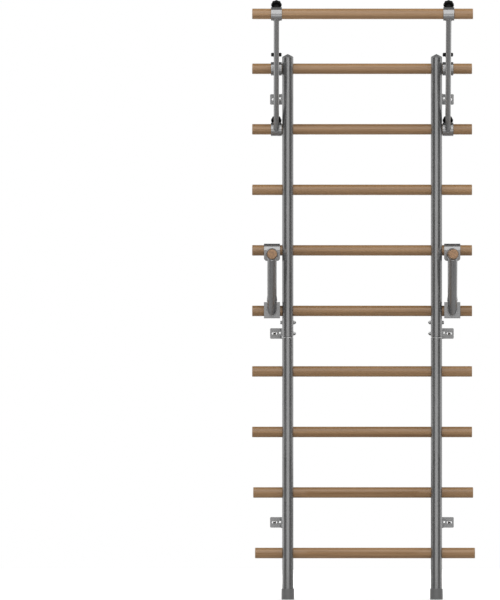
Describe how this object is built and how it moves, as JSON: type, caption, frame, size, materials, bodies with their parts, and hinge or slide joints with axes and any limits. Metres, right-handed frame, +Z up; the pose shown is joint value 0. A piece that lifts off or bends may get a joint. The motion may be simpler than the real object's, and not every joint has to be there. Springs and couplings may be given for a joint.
{
  "type": "swedish wall bars",
  "caption": "Wall-mounted gymnastic ladder of wooden rungs through flat oval steel uprights, with a clamped pull-up bar above and hook-on dip arms.",
  "frame": {"origin": "on the wall plane at floor level, midway between the two uprights", "axes": "+X to the right seen from the front, +Y into the wall, +Z up"},
  "size_m": [0.847, 0.709, 2.2742],
  "materials": {
    "steel": "smooth mid-grey semi-gloss powder coat",
    "wood": "oiled hardwood with streaked grain, pale at the chamfered ends",
    "grey_plastic": "satin mid-grey moulded plastic",
    "black_plastic": "satin black moulded plastic on a zinc-plated stud",
    "zinc": "bright zinc plate"
  },
  "bodies": {
    "frame": {"left_upper_upright": "steel", "left_lower_upright": "steel", "left_joint_spigot": "steel", "left_top_wall_bracket": "steel", "left_middle_wall_bracket": "steel", "left_bottom_wall_bracket": "steel", "right_upper_upright": "steel", "right_lower_upright": "steel", "right_joint_spigot": "steel", "right_top_wall_bracket": "steel", "right_middle_wall_bracket": "steel", "right_bottom_wall_bracket": "steel", "rung_1": "wood", "rung_2": "wood", "rung_3": "wood", "rung_4": "wood", "rung_5": "wood", "rung_6": "wood", "rung_7": "wood", "rung_8": "wood", "rung_9": "wood", "left_top_cap": "grey_plastic", "left_foot": "grey_plastic", "right_top_cap": "grey_plastic", "right_foot": "grey_plastic", "left_top_wall_screw": "zinc", "left_middle_wall_screw": "zinc", "left_bottom_wall_screw": "zinc", "left_top_bracket_bolt": "zinc", "left_bottom_bracket_bolt": "zinc", "left_high_joint_bolt": "zinc", "left_low_joint_bolt": "zinc", "left_high_joint_nut": "zinc", "left_low_joint_nut": "zinc", "left_rung_lock_screw": "zinc", "right_top_wall_screw": "zinc", "right_middle_wall_screw": "zinc", "right_bottom_wall_screw": "zinc", "right_top_bracket_bolt": "zinc", "right_bottom_bracket_bolt": "zinc", "right_high_joint_bolt": "zinc", "right_low_joint_bolt": "zinc", "right_high_joint_nut": "zinc", "right_low_joint_nut": "zinc", "right_rung_lock_screw": "zinc"},
    "left_pull_up_bracket": {"left_pull_up_bracket": "steel"},
    "right_pull_up_bracket": {"right_pull_up_bracket": "steel"},
    "pull_up_bar": {"pull_up_bar": "wood"},
    "left_lower_knob": {"left_lower_knob": "black_plastic"},
    "left_upper_knob": {"left_upper_knob": "black_plastic"},
    "left_bar_knob": {"left_bar_knob": "black_plastic"},
    "right_lower_knob": {"right_lower_knob": "black_plastic"},
    "right_upper_knob": {"right_upper_knob": "black_plastic"},
    "right_bar_knob": {"right_bar_knob": "black_plastic"},
    "left_dip_arm": {"left_dip_frame": "steel", "left_dip_grip": "wood", "left_grip_screw": "zinc"},
    "right_dip_arm": {"right_dip_frame": "steel", "right_dip_grip": "wood", "right_grip_screw": "zinc"}
  },
  "joints": [
    {"name": "left_bracket_slide", "type": "slide", "parent": "frame", "child": "left_pull_up_bracket", "axis": [-1, 0, 0], "range_m": [0, 0.07]},
    {"name": "right_bracket_slide", "type": "slide", "parent": "frame", "child": "right_pull_up_bracket", "axis": [1, 0, 0], "range_m": [0, 0.07]},
    {"name": "left_lower_knob_turn", "type": "hinge", "parent": "left_pull_up_bracket", "child": "left_lower_knob", "pos_m": [-0.326, -0.148, 1.787], "axis": [0, 0.7697, 0.6384], "range_deg": [0, 360]},
    {"name": "left_upper_knob_turn", "type": "hinge", "parent": "left_pull_up_bracket", "child": "left_upper_knob", "pos_m": [-0.326, -0.148, 2.017], "axis": [0, 0, 1], "range_deg": [0, 360]},
    {"name": "left_bar_knob_turn", "type": "hinge", "parent": "left_pull_up_bracket", "child": "left_bar_knob", "pos_m": [-0.326, -0.508, 2.221], "axis": [0, 0.7697, 0.6384], "range_deg": [0, 360]},
    {"name": "right_lower_knob_turn", "type": "hinge", "parent": "right_pull_up_bracket", "child": "right_lower_knob", "pos_m": [0.326, -0.148, 1.787], "axis": [0, 0.7697, 0.6384], "range_deg": [0, 360]},
    {"name": "right_upper_knob_turn", "type": "hinge", "parent": "right_pull_up_bracket", "child": "right_upper_knob", "pos_m": [0.326, -0.148, 2.017], "axis": [0, 0, 1], "range_deg": [0, 360]},
    {"name": "right_bar_knob_turn", "type": "hinge", "parent": "right_pull_up_bracket", "child": "right_bar_knob", "pos_m": [0.326, -0.508, 2.221], "axis": [0, 0.7697, 0.6384], "range_deg": [0, 360]},
    {"name": "bar_slide", "type": "slide", "parent": "frame", "child": "pull_up_bar", "axis": [1, 0, 0], "range_m": [-0.03, 0.03]},
    {"name": "left_dip_arm_tilt", "type": "hinge", "parent": "frame", "child": "left_dip_arm", "pos_m": [-0.3425, -0.148, 1.327], "axis": [-1, 0, 0], "range_deg": [0, 75]},
    {"name": "right_dip_arm_tilt", "type": "hinge", "parent": "frame", "child": "right_dip_arm", "pos_m": [0.3425, -0.148, 1.327], "axis": [-1, 0, 0], "range_deg": [0, 75]}
  ]
}
